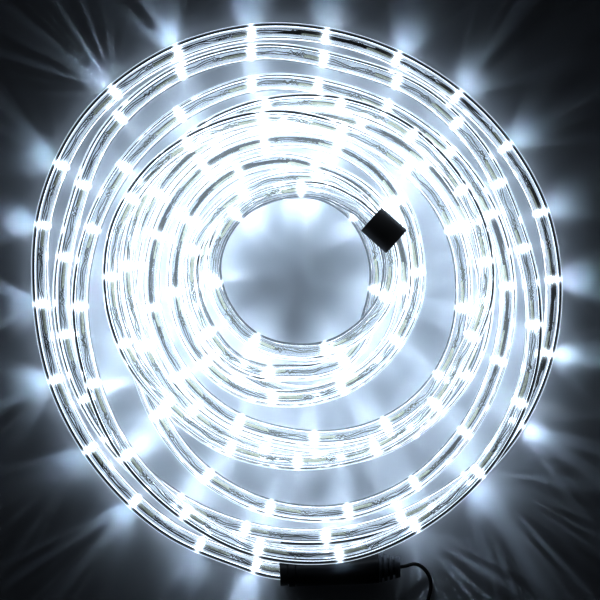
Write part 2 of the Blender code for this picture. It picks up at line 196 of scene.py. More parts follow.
# Rounded edges of the mouldings, and the radius that stands for a turned piece's axis
CAP_ROUNDING = 0.0007
FITTING_ROUNDING = 0.0003
BOOT_ROUNDING = 0.00012
PLUG_ROUNDING = 0.0002
NEARLY_ZERO = 0.0002

# Waves of the leads, as pairs of a length and a share
SLOW = ((0.031, 0.5), (0.017, 0.45), (0.009, 0.12))
TANGLED = ((0.0067, 0.5), (0.0031, 0.42), (0.0019, 0.3))

# Painted glow on the tube's plastic, standing in for the leds' light that the tube carries, with a
# painted highlight on its rim. Widths along the tube are shares of the distance between leds.
BODY_GLOW = 0.62
RIM_GLOW = 1.6
PATCH_WIDTH = 0.055
PATCH_GLOW = 1.3
LED_GLOW = 4.0

# Painted light over the inner turns, standing in for the light that they throw on each other: its
# strength on wires, and the distances from the coil's centre where it starts and is full
WIRE_VEIL = 0.3
SLEEVE_VEIL = (0.6, 1.7)
VEIL_STARTS = 0.146
VEIL_FULL = 0.112

# Lamps in the tube. Powers are in watts. OUTER_SHARE and INNER_SHARE are how much light goes
# outward from the coil, against the light that goes towards its centre.
LED_POWER = 0.0084
LED_LIGHT_COLOUR = (0.79, 0.90, 1.0)
FAN_WIDTH = 0.4
FAN_SHARE = 5.0
FAN_KINDS = 4
GLOW_POWER = 0.005
RAY_POWER = 0.004
RAY_COLOUR = (0.74, 0.86, 1.0)
RAY_SPREAD = 0.7
RAY_SHARE = 6.5
OUTER_SHARE = 0.12
INNER_SHARE = 0.5

# Studio light, powers in watts
SKY_STRENGTH = 0.005
KEY_POWER = 0.35
FILL_POWER = 0.2
STUDIO_COLOUR = (0.85, 0.92, 1.0)

# Floor: half its width, and how far it lies under the part
FLOOR_HALF = 4.0
FLOOR_DROP = 0.0002

# Shine that bright leds make in a camera's lens
BLOOM_STRENGTH = 0.2
BLOOM_SIZE = 0.1

# Facets
TUBE_RING_SPACING = 0.0026
TUBE_SIDES = 24
BORE_SIDES = 12
WIRE_SIDES = 6
PIECE_SIDES = 64


# Route of the tube and the fittings


def on_plan(units, height):
    """A point given in picture units from the coil's centre, at a height in metres."""
    return Vector((COIL_CENTRE[0] + units[0] * UNIT, COIL_CENTRE[1] + units[1] * UNIT, height))


def nut_length():
    return NUT_LIP_WIDTH + NUT_GROOVE_WIDTH + NUT_RING_WIDTH


def connector_way():
    return Vector((*CONNECTOR_DIRECTION, 0)).normalized()


def cap_way():
    return Vector((*CAP_DIRECTION, 0)).normalized()


def on_connector_axis(along):
    """The point of the connector's axis at a distance from the nut's mouth."""
    return on_plan(NUT_MOUTH, CONNECTOR_AXIS_HEIGHT) + along * connector_way()


def height_on_connector(side_units):
    reach = (NUT_RING_DIAMETER + TUBE_DIAMETER) / 2 + CLEARANCE
    side = side_units * UNIT
    return CONNECTOR_AXIS_HEIGHT + sqrt(reach**2 - side**2)


def turn_height(turn, angle):
    side_units = CROSSES_CONNECTOR.get(turn, {}).get(angle)
    if side_units is not None:
        return height_on_connector(side_units)
    return LIFTED.get(turn, {}).get(angle, ON_FLOOR) * TUBE_DIAMETER


def tube_route():
    """The points that the tube's middle line passes through, from connector to cap."""
    socket_floor = nut_length() + CLEARANCE + CONNECTOR_SOCKET_DEPTH
    points = [on_connector_axis(socket_floor - CLEARANCE), on_connector_axis(0)]
    for turn, radii in enumerate(TURN_RADII, start=1):
        for step, radius in enumerate(radii):
            angle = (FIRST_ANGLE - step * ANGLE_STEP) % 360
            plan = (radius * cos(radians(angle)), radius * sin(radians(angle)))
            points.append(on_plan(plan, turn_height(turn, angle)))
    cap_mouth = on_plan(CAP_MOUTH, CAP_AXIS_HEIGHT)
    return points + [cap_mouth, cap_mouth + (CAP_SOCKET_DEPTH - CLEARANCE) * cap_way()]


def smooth_path(points, spacing):
    """Points on a smooth curve through the given ones. Its height doesn't dip between them."""
    knots = [0]
    for before, after in zip(points, points[1:]):
        knots.append(knots[-1] + (after - before).length)
    slopes = []
    for index in range(len(points)):
        low = max(index - 1, 0)
        high = min(index + 1, len(points) - 1)
        slope = (points[high] - points[low]) / (knots[high] - knots[low])
        if (points[index].z - points[low].z) * (points[high].z - points[index].z) <= 0:
            slope.z = 0
        slopes.append(slope)
    path = []
    for index in range(len(points) - 1):
        span = knots[index + 1] - knots[index]
        steps = ceil(span / spacing)
        for step in range(steps):
            t = step / steps
            path.append(
                points[index] * (2 * t**3 - 3 * t**2 + 1)
                + slopes[index] * span * (t**3 - 2 * t**2 + t)
                + points[index + 1] * (3 * t**2 - 2 * t**3)
                + slopes[index + 1] * span * (t**3 - t**2)
            )
    path.append(points[-1])
    return path


class Line:
    """A path with its length along it, and the directions along, beside and above it."""

    def __init__(self, path):
        self.points = np.array([list(point) for point in path])
        steps = np.linalg.norm(np.diff(self.points, axis=0), axis=1)
        self.run = np.concatenate([[0], np.cumsum(steps)])
        self.length = self.run[-1]

    def place(self, run):
        """Points at distances along the line."""
        return np.stack([np.interp(run, self.run, self.points[:, i]) for i in range(3)], axis=-1)

    def frames(self, run):
        """Points, and unit vectors along, beside and above the line, at distances along it."""
        reach = 0.002
        ahead = self.place(np.minimum(run + reach, self.length))
        behind = self.place(np.maximum(run - reach, 0))
        along = ahead - behind
        along /= np.linalg.norm(along, axis=1, keepdims=True)
        side = np.cross(along, (0, 0, 1))
        side /= np.linalg.norm(side, axis=1, keepdims=True)
        return self.place(run), along, side, np.cross(side, along)

    def at_angle(self, turn, angle):
        """Distance along the line where it passes an angle round the coil's centre."""
        plan = self.points[:, :2] - np.array(COIL_CENTRE)
        turned = -np.degrees(np.unwrap(np.arctan2(plan[:, 1], plan[:, 0])))
        passed = (FIRST_ANGLE - angle) % 360 + 360 * (turn - 1)
        return float(np.interp(360 - FIRST_ANGLE + passed, turned, self.run))


# Meshes


class Shape:
    """Vertices and faces that are gathered for one mesh."""

    def __init__(self):
        self.verts = []
        self.faces = []

    def add_rings(self, rings, closed_ends=True):
        """rings is an array (ring, corner, xyz). Neighbouring rings are joined."""
        count, sides = rings.shape[:2]
        first = sum(len(block) for block in self.verts)
        self.verts.append(rings.reshape(-1, 3))
        index = first + np.arange(count * sides).reshape(count, sides)
        ahead = np.roll(index, -1, axis=1)
        quads = np.stack([index[:-1], ahead[:-1], ahead[1:], index[1:]], axis=-1).reshape(-1, 4)
        self.faces += quads.tolist()
        if closed_ends:
            self.faces.append(index[0][::-1].tolist())
            self.faces.append(index[-1].tolist())
        return index

    def mesh(self, name):
        made = bpy.data.meshes.new(name)
        made.from_pydata(np.concatenate(self.verts).tolist(), [], self.faces)
        made.validate()
        made.shade_smooth()
        return made


def circle(sides):
    angles = 2 * pi * np.arange(sides) / sides
    return np.cos(angles), np.sin(angles)


def sweep(shape, points, side, up, radius, sides, closed_ends=True):
    """A round tube along points. radius is one number or one for each point."""
    c, s = circle(sides)
    radius = np.broadcast_to(radius, len(points))[:, None, None]
    ring = c[None, :, None] * side[:, None, :] + s[None, :, None] * up[:, None, :]
    return shape.add_rings(points[:, None, :] + radius * ring, closed_ends)


def wire(shape, line, run, beside, above, radius, sides):
    """A thin wire at an offset from the line's middle."""
    points, along, side, up = line.frames(run)
    path = points + side * beside[:, None] + up * above[:, None]
    sweep(shape, path, side, up, radius, sides)


def annulus(outer, inner, flip):
    """Triangles between two rings of corners of different number."""
    faces = []
    i = j = 0
    while i < len(outer) or j < len(inner):
        outer_place = (i + 0.5) / len(outer)
        inner_place = (j + 0.5) / len(inner)
        start = [outer[i % len(outer)], inner[j % len(inner)]]
        if j >= len(inner) or (i < len(outer) and outer_place <= inner_place):
            i += 1
            faces.append(start + [outer[i % len(outer)]])
        else:
            j += 1
            faces.append(start + [inner[j % len(inner)]])
    return [face[::-1] for face in faces] if flip else faces


def add_piece(name, mesh, look):
    made = bpy.data.objects.new(name, mesh)
    made.data.materials.append(look)
    bpy.context.scene.collection.objects.link(made)
    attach(made, "root")
    return made


# Nodes


def shader(name):
    """A new material. Its glow is only seen, because the lamps give the light."""
    made = bpy.data.materials.new(name)
    made.use_nodes = True
    made.cycles.emission_sampling = "NONE"
    return made, made.node_tree, made.node_tree.nodes["Principled BSDF"]


def noise(tree, scale, detail=3.0, stretch=(1, 1, 1)):
    """Noise in the object's own coordinates, from 0 to 1."""
    where = tree.nodes.new("ShaderNodeTexCoord")
    fit = tree.nodes.new("ShaderNodeMapping")
    fit.inputs["Scale"].default_value = stretch
    made = tree.nodes.new("ShaderNodeTexNoise")
    made.inputs["Scale"].default_value = scale
    made.inputs["Detail"].default_value = detail
    tree.links.new(where.outputs["Object"], fit.inputs["Vector"])
    tree.links.new(fit.outputs["Vector"], made.inputs["Vector"])
    return made.outputs["Fac"]


def flat_noise(tree, x, y, scale, detail):
    """Noise over two outputs, from 0 to 1."""
    place = tree.nodes.new("ShaderNodeCombineXYZ")
    tree.links.new(x, place.inputs["X"])
    tree.links.new(y, place.inputs["Y"])
    made = tree.nodes.new("ShaderNodeTexNoise")
    made.noise_dimensions = "2D"
    made.inputs["Scale"].default_value = scale
    made.inputs["Detail"].default_value = detail
    tree.links.new(place.outputs["Vector"], made.inputs["Vector"])
    return made.outputs["Fac"]


def spread(tree, source, low, high, start=0.3, end=0.7):
    """Low where the source is at start, high where it is at end, and even in between."""
    made = tree.nodes.new("ShaderNodeMapRange")
    made.inputs["From Min"].default_value = start
    made.inputs["From Max"].default_value = end
    made.inputs["To Min"].default_value = low
    made.inputs["To Max"].default_value = high
    tree.links.new(source, made.inputs["Value"])
    return made.outputs["Result"]


def maths(tree, operation, *values):
    """A maths node. Each value is a number or an output."""
    made = tree.nodes.new("ShaderNodeMath")
    made.operation = operation
    for socket, value in zip(made.inputs, values):
        if isinstance(value, bpy.types.NodeSocket):
            tree.links.new(value, socket)
        else:
            socket.default_value = value
    return made.outputs["Value"]


def bell(tree, value, width):
    """1 where the value is 0, and falling off on both sides."""
    square = maths(tree, "MULTIPLY", value, value)
    return maths(tree, "EXPONENT", maths(tree, "MULTIPLY", square, -1 / width**2))


def blend_colours(tree, factor, first, second):
    """A colour between two, each given as numbers or as an output."""
    made = tree.nodes.new("ShaderNodeMix")
    made.data_type = "RGBA"
    for name, colour in (("A", first), ("B", second)):
        if isinstance(colour, bpy.types.NodeSocket):
            tree.links.new(colour, made.inputs[name])
        else:
            made.inputs[name].default_value = (*colour, 1)
    tree.links.new(factor, made.inputs["Factor"])
    return made.outputs["Result"]


def bump(tree, height, strength, distance):
    made = tree.nodes.new("ShaderNodeBump")
    made.inputs["Strength"].default_value = strength
    made.inputs["Distance"].default_value = distance
    tree.links.new(height, made.inputs["Height"])
    return made.outputs["Normal"]


def mark(tree, name):
    """The value that the tube's mesh carries at each corner under a name."""
    made = tree.nodes.new("ShaderNodeAttribute")
    made.attribute_name = name
    return made.outputs["Fac"]


# Materials


def veil(tree):
    """Share of the painted light: 1 on the coil's inner turns, which light each other, and 0 on its
    outermost one.
    """
    where = tree.nodes.new("ShaderNodeTexCoord")
    gap = tree.nodes.new("ShaderNodeVectorMath")
    gap.operation = "DISTANCE"
    gap.inputs[1].default_value = (*COIL_CENTRE, TUBE_DIAMETER / 2)
    tree.links.new(where.outputs["Object"], gap.inputs[0])
    return spread(tree, gap.outputs["Value"], 1.0, 0.0, VEIL_FULL, VEIL_STARTS)


def add_painted_veil(tree, main, least, most):
    """Painted light: a glow on a piece in the bore, for the light from the neighbouring turns that it
    sends on to the eye.
    """
    share = maths(tree, "MULTIPLY_ADD", veil(tree), most - least, least)
    tree.links.new(share, main.inputs["Emission Strength"])


def add_tube_glow(tree, main):
    """Painted light on the plastic, for the leds' light that it carries: white beside each led, faint
    and streaky in between on the lower half, a painted highlight along the outer rim, and painted
    shade in a band towards the outer side, strongest on the outermost turn.
    """
    number = mark(tree, "led_number")
    outward = mark(tree, "outward")
    along = maths(tree, "MULTIPLY", number, 0.8)
    across = maths(tree, "MULTIPLY", outward, 6.0)
    streaks = flat_noise(tree, along, across, 2.6, 4.0)
    faint = spread(tree, streaks, 0.3, 1.0, 0.36, 0.62)
    # Painted shade: a dark band towards the tube's outer side, weaker on the inner turns.
    painted_shade_band = bell(tree, maths(tree, "ADD", outward, -0.5), 0.3)
    outer_turn = maths(tree, "MULTIPLY_ADD", veil(tree), -0.75, 1.0)
    painted_shade_band = maths(tree, "MULTIPLY", painted_shade_band, outer_turn)
    keep = maths(tree, "MULTIPLY_ADD", painted_shade_band, -1.0, 1.0)
    keep = maths(tree, "MULTIPLY", keep, mark(tree, "lower_half"))
    # Painted highlight along the tube's outer rim.
    rim = bell(tree, maths(tree, "ADD", outward, -0.98), 0.1)
    body = maths(tree, "MULTIPLY", faint, keep)
    body = maths(tree, "MULTIPLY_ADD", rim, RIM_GLOW, body)
    body = maths(tree, "MULTIPLY", body, BODY_GLOW)
    widen = maths(tree, "MULTIPLY", outward, outward)
    widen = maths(tree, "MULTIPLY_ADD", widen, 0.9, 1.0)
    from_led = maths(tree, "PINGPONG", number, 0.5)
    from_led = maths(tree, "MULTIPLY", from_led, widen)
    patch = bell(tree, from_led, PATCH_WIDTH)
    glow = maths(tree, "MULTIPLY_ADD", patch, PATCH_GLOW, body)
    main.inputs["Emission Color"].default_value = (0.80, 0.90, 1.0, 1)
    tree.links.new(glow, main.inputs["Emission Strength"])


def clear_plastic(name, glow=False):
    """Soft clear plastic with faint waves and haze."""
    made, tree, main = shader(name)
    main.inputs["Base Color"].default_value = (0.97, 0.985, 1.0, 1)
    main.inputs["IOR"].default_value = 1.5
    main.inputs["Transmission Weight"].default_value = 1.0
    haze = spread(tree, noise(tree, 180, 4), 0.0, 0.06)
    tree.links.new(haze, main.inputs["Roughness"])
    waves = bump(tree, noise(tree, 60, 2), 0.25, 0.0006)
    tree.links.new(waves, main.inputs["Normal"])
    if glow:
        add_tube_glow(tree, main)
    return made


def lit_led():
    """The lens of a lit led."""
    made, _, main = shader("lit_led")
    main.inputs["Base Color"].default_value = (0.9, 0.95, 1.0, 1)
    main.inputs["Roughness"].default_value = 0.25
    main.inputs["Emission Color"].default_value = (0.80, 0.90, 1.0, 1)
    main.inputs["Emission Strength"].default_value = LED_GLOW
    return made


def sleeve_plastic():
    """Thin grey green tubing over the resistors, with painted shade that darkens it towards its sides
    as seen, and a painted glow in its own colour that is stronger on the inner turns.
    """
    made, tree, main = shader("sleeve_plastic")
    grain = noise(tree, 700, 3)
    pale = blend_colours(tree, grain, (0.24, 0.28, 0.25), (0.54, 0.60, 0.56))
    # Painted shade: the colour darkens to near black where the sleeve turns away from view.
    edge = tree.nodes.new("ShaderNodeLayerWeight")
    edge.inputs["Blend"].default_value = 0.5
    share = spread(tree, edge.outputs["Facing"], 0.0, 1.0, 0.4, 0.75)
    colour = blend_colours(tree, share, pale, (0.004, 0.005, 0.003))
    tree.links.new(colour, main.inputs["Base Color"])
    # Painted glow in the sleeve's own colour, stronger on the inner turns.
    tree.links.new(colour, main.inputs["Emission Color"])
    add_painted_veil(tree, main, *SLEEVE_VEIL)
    main.inputs["Roughness"].default_value = 0.35
    return made


def dark_wire(name, grain_scale, dark, light, metallic, painted_glow_colour):
    """Dull wire, with a painted glow over it on the inner turns for the light they throw on it."""
    made, tree, main = shader(name)
    grain = noise(tree, grain_scale, 2)
    tree.links.new(blend_colours(tree, grain, dark, light), main.inputs["Base Color"])
    main.inputs["Metallic"].default_value = metallic
    main.inputs["Roughness"].default_value = 0.4
    main.inputs["Emission Color"].default_value = (*painted_glow_colour, 1)
    add_painted_veil(tree, main, 0.0, WIRE_VEIL)
    return made


def lead_wire():
    """Tinned wire between the leds."""
    dark = (0.004, 0.005, 0.004)
    light = (0.03, 0.034, 0.028)
    # The last colour is that of the painted glow.
    return dark_wire("lead_wire", 700, dark, light, 0.4, (0.80, 0.90, 0.84))


def bus_wire():
    """Stranded copper wire moulded in the tube's wall."""
    dark = (0.010, 0.010, 0.012)
    light = (0.05, 0.048, 0.05)
    # The last colour is that of the painted glow.
    return dark_wire("bus_wire", 900, dark, light, 0.8, (0.74, 0.86, 1.0))


def black_moulding(name, colour, low, high, grain_scale, depth):
    """Moulded black plastic or rubber: fine grain, and patches of more and less sheen."""
    made, tree, main = shader(name)
    fine = noise(tree, grain_scale, 4)
    patches = noise(tree, 120, 2)
    lighter = tuple(2.2 * part + 0.004 for part in colour)
    tree.links.new(blend_colours(tree, patches, colour, lighter), main.inputs["Base Color"])
    tree.links.new(spread(tree, patches, low, high), main.inputs["Roughness"])
    tree.links.new(bump(tree, fine, 0.35, depth), main.inputs["Normal"])
    return made


def plug_metal():
    """Nickel plated metal with fine lines along the barrel."""
    made, tree, main = shader("plug_metal")
    fine = noise(tree, 1500, 2, (0.1, 1, 1))
    main.inputs["Base Color"].default_value = (0.72, 0.72, 0.70, 1)
    main.inputs["Metallic"].default_value = 1.0
    tree.links.new(spread(tree, fine, 0.18, 0.34), main.inputs["Roughness"])
    return made


def floor_paint():
    """Plain pale floor with hardly visible unevenness."""
    made, tree, main = shader("floor_paint")
    broad = noise(tree, 6, 3)
    colour = blend_colours(tree, broad, (0.60, 0.64, 0.70), (0.66, 0.70, 0.76))
    tree.links.new(colour, main.inputs["Base Color"])
    main.inputs["Roughness"].default_value = 0.55
    return made


# Floor, camera and studio light


def add_floor():
    corners = [(-1, -1), (1, -1), (1, 1), (-1, 1)]
    mesh = bpy.data.meshes.new("floor")
    mesh.from_pydata([(x * FLOOR_HALF, y * FLOOR_HALF, 0) for x, y in corners], [], [(0, 1, 2, 3)])
    made = bpy.data.objects.new("floor", mesh)
    made.data.materials.append(floor_paint())
    made.location.z = -FLOOR_DROP
    bpy.context.scene.collection.objects.link(made)


def add_camera():
    middle = on_plan(PICTURE_MIDDLE, 0)
    data = bpy.data.cameras.new("camera")
    data.sensor_width = 36
    data.lens = data.sensor_width * (CAMERA_HEIGHT - TUBE_DIAMETER) / (PICTURE_UNITS * UNIT)
    made = bpy.data.objects.new("camera", data)
    made.location = (middle.x, middle.y, CAMERA_HEIGHT)
    bpy.context.scene.collection.objects.link(made)
    bpy.context.scene.camera = made


def add_area_light(name, place, size, power):
    """A round soft lamp that looks at the coil's middle."""
    data = bpy.data.lights.new(name, "AREA")
    data.shape = "DISK"
    data.size = size
    data.energy = power
    data.color = STUDIO_COLOUR
    made = bpy.data.objects.new(name, data)
    made.location = place
    made.rotation_euler = (-Vector(place)).to_track_quat("-Z", "Y").to_euler()
    bpy.context.scene.collection.objects.link(made)


def add_studio_light():
    world = bpy.data.worlds.new("world")
    world.use_nodes = True
    sky = world.node_tree.nodes["Background"]
    sky.inputs["Color"].default_value = (0.55, 0.68, 1.0, 1)
    sky.inputs["Strength"].default_value = SKY_STRENGTH
    bpy.context.scene.world = world
    add_area_light("key_light", (-0.8, 0.9, 1.6), 1.2, KEY_POWER)
    add_area_light("fill_light", (1.1, -0.7, 1.3), 1.4, FILL_POWER)


# The leds' light


def led_runs(line):
    """Distance along the tube of each led."""
    numbers = []
    runs = []
    for first, turn, angles in LED_PLACES:
        for step, angle in enumerate(angles):
            numbers.append(first + step)
            runs.append(line.at_angle(turn, angle))
    return np.interp(np.arange(numbers[-1] + 1), numbers, runs)


def near_share(tree, beside, above, outward_share):
    """More light up and down than level, and a share of it on the side away from the coil."""
    slant = maths(tree, "MULTIPLY_ADD", maths(tree, "ABSOLUTE", above), 1.6, 0.05)
    side = spread(tree, beside, outward_share, 1.0, -0.25, 0.25)
    return maths(tree, "MULTIPLY", slant, side)


def lamp(name, power, radius, colour):
    """A point lamp, and a ray's direction from it as ahead, beside and above."""
    data = bpy.data.lights.new(name, "POINT")
    data.energy = power
    data.shadow_soft_size = radius
    data.color = colour
    data.use_nodes = True
    tree = data.node_tree
    where = tree.nodes.new("ShaderNodeTexCoord")
    parts = tree.nodes.new("ShaderNodeSeparateXYZ")
    tree.links.new(where.outputs["Normal"], parts.inputs["Vector"])
    return data, tree, parts.outputs


def fan_light(kind, outward_share):
    """A led's lamp. Most of its light goes out in a fan of fine rays across the tube."""
    data, tree, (ahead, beside, above) = lamp("led_light", LED_POWER, 0.0012, LED_LIGHT_COLOUR)
    across = maths(tree, "SIGN", beside)
    across = maths(tree, "MULTIPLY_ADD", across, 3.1, 7.7 * kind)
    rays = flat_noise(tree, ahead, across, 7.0, 2.0)
    fine = spread(tree, rays, 0.12, 1.0, 0.40, 0.64)
    fan = maths(tree, "MULTIPLY", bell(tree, ahead, FAN_WIDTH), fine)
    fan = maths(tree, "MULTIPLY_ADD", fan, FAN_SHARE, 0.5)
    slant = near_share(tree, beside, above, outward_share)
    strength = maths(tree, "MULTIPLY", fan, slant)
    tree.links.new(strength, tree.nodes["Emission"].inputs["Strength"])
    return data


def ray_light():
    """A lamp for the long fine rays that a led of the outermost turn throws outward."""
    data, tree, (ahead, beside, above) = lamp("ray_light", RAY_POWER, 0.0006, RAY_COLOUR)
    spot = tree.nodes.new("ShaderNodeObjectInfo")
    outward = maths(tree, "MULTIPLY", beside, -1.0)
    outward = maths(tree, "MAXIMUM", outward, 0.0)
    bearing = maths(tree, "ARCTAN2", ahead, outward)
    seed = maths(tree, "MULTIPLY", spot.outputs["Random"], 90.0)
    rays = flat_noise(tree, bearing, seed, 15.0, 2.0)
    fine = spread(tree, rays, 0.02, 1.0, 0.47, 0.62)
    fan = maths(tree, "MULTIPLY", bell(tree, bearing, RAY_SPREAD), fine)
    fan = maths(tree, "MULTIPLY", fan, outward)
    slant = maths(tree, "ABSOLUTE", above)
    slant = maths(tree, "MAXIMUM", slant, 0.3)
    fan = maths(tree, "DIVIDE", fan, slant)
    strength = maths(tree, "MULTIPLY", fan, RAY_SHARE)
    tree.links.new(strength, tree.nodes["Emission"].inputs["Strength"])
    return data


def glow_light(outward_share):
    """A lamp for the light that the clear tube carries along between the leds."""
    data, tree, (_, beside, above) = lamp("tube_glow", GLOW_POWER, 0.002, LED_LIGHT_COLOUR)
    strength = near_share(tree, beside, above, outward_share)
    tree.links.new(strength, tree.nodes["Emission"].inputs["Strength"])
    return data


def add_lamp(name, data, place):
    """A lamp that gives light but isn't seen itself."""
    made = bpy.data.objects.new(name, data)
    made.matrix_world = place
    made.visible_camera = False
    made.visible_glossy = False
    made.visible_transmission = False
    bpy.context.scene.collection.objects.link(made)


def lamp_places(line, runs):
    """Where lamps stand on the line, with +X along it and +Y towards the coil's centre."""
    places = []
    for point, along, side, up in zip(*line.frames(runs)):
        axes = Matrix((Vector(along), Vector(side), Vector(up))).transposed()
        places.append(Matrix.Translation(Vector(point)) @ axes.to_4x4())
    return places


def add_glow_lights(line):
    """One lamp midway between each led and the next."""
    inner = glow_light(INNER_SHARE)
    outer = glow_light(OUTER_SHARE)
    runs = led_runs(line)
    for index, place in enumerate(lamp_places(line, (runs[:-1] + runs[1:]) / 2)):
        data = outer if index in OUTER_LEDS else inner
        add_lamp("tube_glow_%03d" % index, data, place)


def add_led_lights(line):
    inner = [fan_light(kind, INNER_SHARE) for kind in range(FAN_KINDS)]
    outer = [fan_light(kind, OUTER_SHARE) for kind in range(FAN_KINDS)]
    rays = ray_light()
    for index, place in enumerate(lamp_places(line, led_runs(line))):
        kinds = outer if index in OUTER_LEDS else inner
        add_lamp("led_light_%03d" % index, kinds[index * 7 % FAN_KINDS], place)
        if index in OUTER_LEDS:
            add_lamp("ray_light_%03d" % index, rays, place)


# The tube and what is in it


def led_numbers(line, run):
    """The place along the tube counted in leds. It stays off a whole number beyond the last."""
    runs = led_runs(line)
    numbers = np.interp(run, runs, np.arange(len(runs)))
    pitch = line.length / len(runs)
    numbers -= np.clip((runs[0] - run) / pitch, 0, 0.5)
    return numbers + np.clip((run - runs[-1]) / pitch, 0, 0.5)


def add_rope_skin(line):
    """The tube's outside and bore, with values at its corners for the painted glow."""
    shape = Shape()
    count = round(line.length / TUBE_RING_SPACING)
    run = np.linspace(0, line.length, count)
    points, along, side, up = line.frames(run)
    outside = sweep(shape, points, side, up, TUBE_DIAMETER / 2, TUBE_SIDES, False)
    skin_faces = len(shape.faces)
    bore = sweep(shape, points, side, up, BORE_DIAMETER / 2, BORE_SIDES, False)
    shape.faces[skin_faces:] = [face[::-1] for face in shape.faces[skin_faces:]]
    for end, flip in ((0, False), (-1, True)):
        shape.faces += annulus(outside[end].tolist(), bore[end].tolist(), flip)
    mesh = shape.mesh("rope_skin")
    number = led_numbers(line, run)
    skin_beside, skin_above = circle(TUBE_SIDES)
    bore_beside = circle(BORE_SIDES)[0]
    marks = {
        "led_number": [np.repeat(number, TUBE_SIDES), np.repeat(number, BORE_SIDES)],
        "outward": [np.tile(-skin_beside, count), np.tile(-bore_beside, count)],
        "lower_half": [np.tile(skin_above < 0.1, count), np.zeros(count * BORE_SIDES)],
    }
    for name, values in marks.items():
        layer = mesh.attributes.new(name, "FLOAT", "POINT")
        layer.data.foreach_set("value", np.concatenate(values))
    made = add_piece("rope_skin", mesh, clear_plastic("clear_pvc", glow=True))
    made.visible_shadow = False
    mesh.materials.append(clear_plastic("clear_bore"))
    inner = np.arange(len(mesh.polygons)) >= skin_faces
    mesh.polygons.foreach_set("material_index", inner.astype(np.int32))
    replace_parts(made, "light_tube")
    return made


def declare_rope(skin, line, cap):
    """Points along the tube's middle line from its connector's mouth to its cap, 4 mm apart. Nothing
    is made from them.
    """
    run = np.linspace(0, line.length, round(line.length / 0.004))
    line.place(run).tolist()


def add_inside(name, shape, look):
    """A piece in the tube. It throws no shadow, so that the lamps' light gets out."""
    made = add_piece(name, shape.mesh(name), look)
    made.visible_shadow = False
    return made


def add_bus_wires(line):
    """The two wires in the tube's wall. They turn slowly about the bore."""
    shape = Shape()
    run = np.linspace(BUS_END_GAP, line.length - BUS_END_GAP, round(line.length / 0.0040))
    turn = 1.05 + 0.5 * np.sin(run * 2.9) + 0.25 * np.sin(run * 11.0 + 1) + 0.08 * np.sin(run * 95)
    reach = (TUBE_DIAMETER + BORE_DIAMETER) / 4
    for half in (0, pi):
        beside = -reach * np.cos(turn + half)
        above = reach * np.sin(turn + half)
        wire(shape, line, run, beside, above, BUS_RADIUS, WIRE_SIDES)
    add_inside("bus_wires", shape, bus_wire())


def add_leds(line):
    """The led lenses: a foot with a rim, a short body and a dome."""
    rim = LED_RIM_RADIUS
    profile = [(0.0, LED_RADIUS), (0.0003, rim), (0.0007, rim), (0.0008, LED_RADIUS)]
    for angle in np.radians([0, 25, 50, 70, 84]):
        profile.append((LED_DOME_START + LED_RADIUS * sin(angle), LED_RADIUS * cos(angle)))
    aheads, radii = np.array(profile).T
    aheads = aheads - LED_LENGTH / 2
    shape = Shape()
    for run in led_runs(line):
        points, along, side, up = line.frames(np.array([run]))
        path = points + aheads[:, None] * along + LED_ASIDE * side
        sides = np.repeat(side, len(path), axis=0)
        ups = np.repeat(up, len(path), axis=0)
        sweep(shape, path, sides, ups, radii, 10)
    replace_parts(add_inside("leds", shape, lit_led()), "led_string")


def sleeve_span(index, led_run):
    """Where the sleeve on a led's legs starts and ends along the tube."""
    end = led_run - LED_LENGTH / 2 - SLEEVE_LED_GAP
    return end - SLEEVE_LENGTH - 0.0035 * sin(index * 1.7), end


def add_sleeves(line):
    """A soft sleeve behind each led, a little bent and uneven."""
    shape = Shape()
    radius = SLEEVE_RADIUS * np.array([0.45, 0.8, 0.98, 1.02, 1.0, 0.98, 1.02, 1.0, 0.9])
    shares = np.array([0, 0.03, 0.09, 0.2, 0.4, 0.6, 0.8, 0.95, 1])
    for index, run in enumerate(led_runs(line)):
        start, end = sleeve_span(index, run)
        if start < 0.002:
            continue
        bend = 0.00025 * np.sin(np.arange(len(shares)) + index)
        beside = LED_ASIDE + 0.0003 * sin(index * 2.1) + bend
        above = 0.0004 * cos(index * 3.1) + bend
        wire(shape, line, start + (end - start) * shares, beside, above, radius, 10)
    add_inside("resistor_sleeves", shape, sleeve_plastic())


def knot_share(run, start, end):
    """1 inside a stretch of the tube, falling to 0 over a millimetre and a half at its ends."""
    ramp = 0.0015
    return np.clip((run - start) / ramp, 0, 1) * np.clip((end - run) / ramp, 0, 1)


def ripple(run, seed, waves):
    """A sum of sines. waves is (length in metres, size) pairs."""
    total = 0 * run
    for order, (length, size) in enumerate(waves):
        total += size * np.sin(run * 2 * pi / length + seed * (1.3 + 1.7 * order))
    return total


def add_bore_wire(shape, line, run, beside, above, radius):
    """A wire that is kept inside the bore."""
    off = np.hypot(beside, above)
    keep = np.minimum(1, (BORE_DIAMETER / 2 - 0.0004) / np.maximum(off, 0.0001))
    wire(shape, line, run, beside * keep, above * keep, radius, 5)


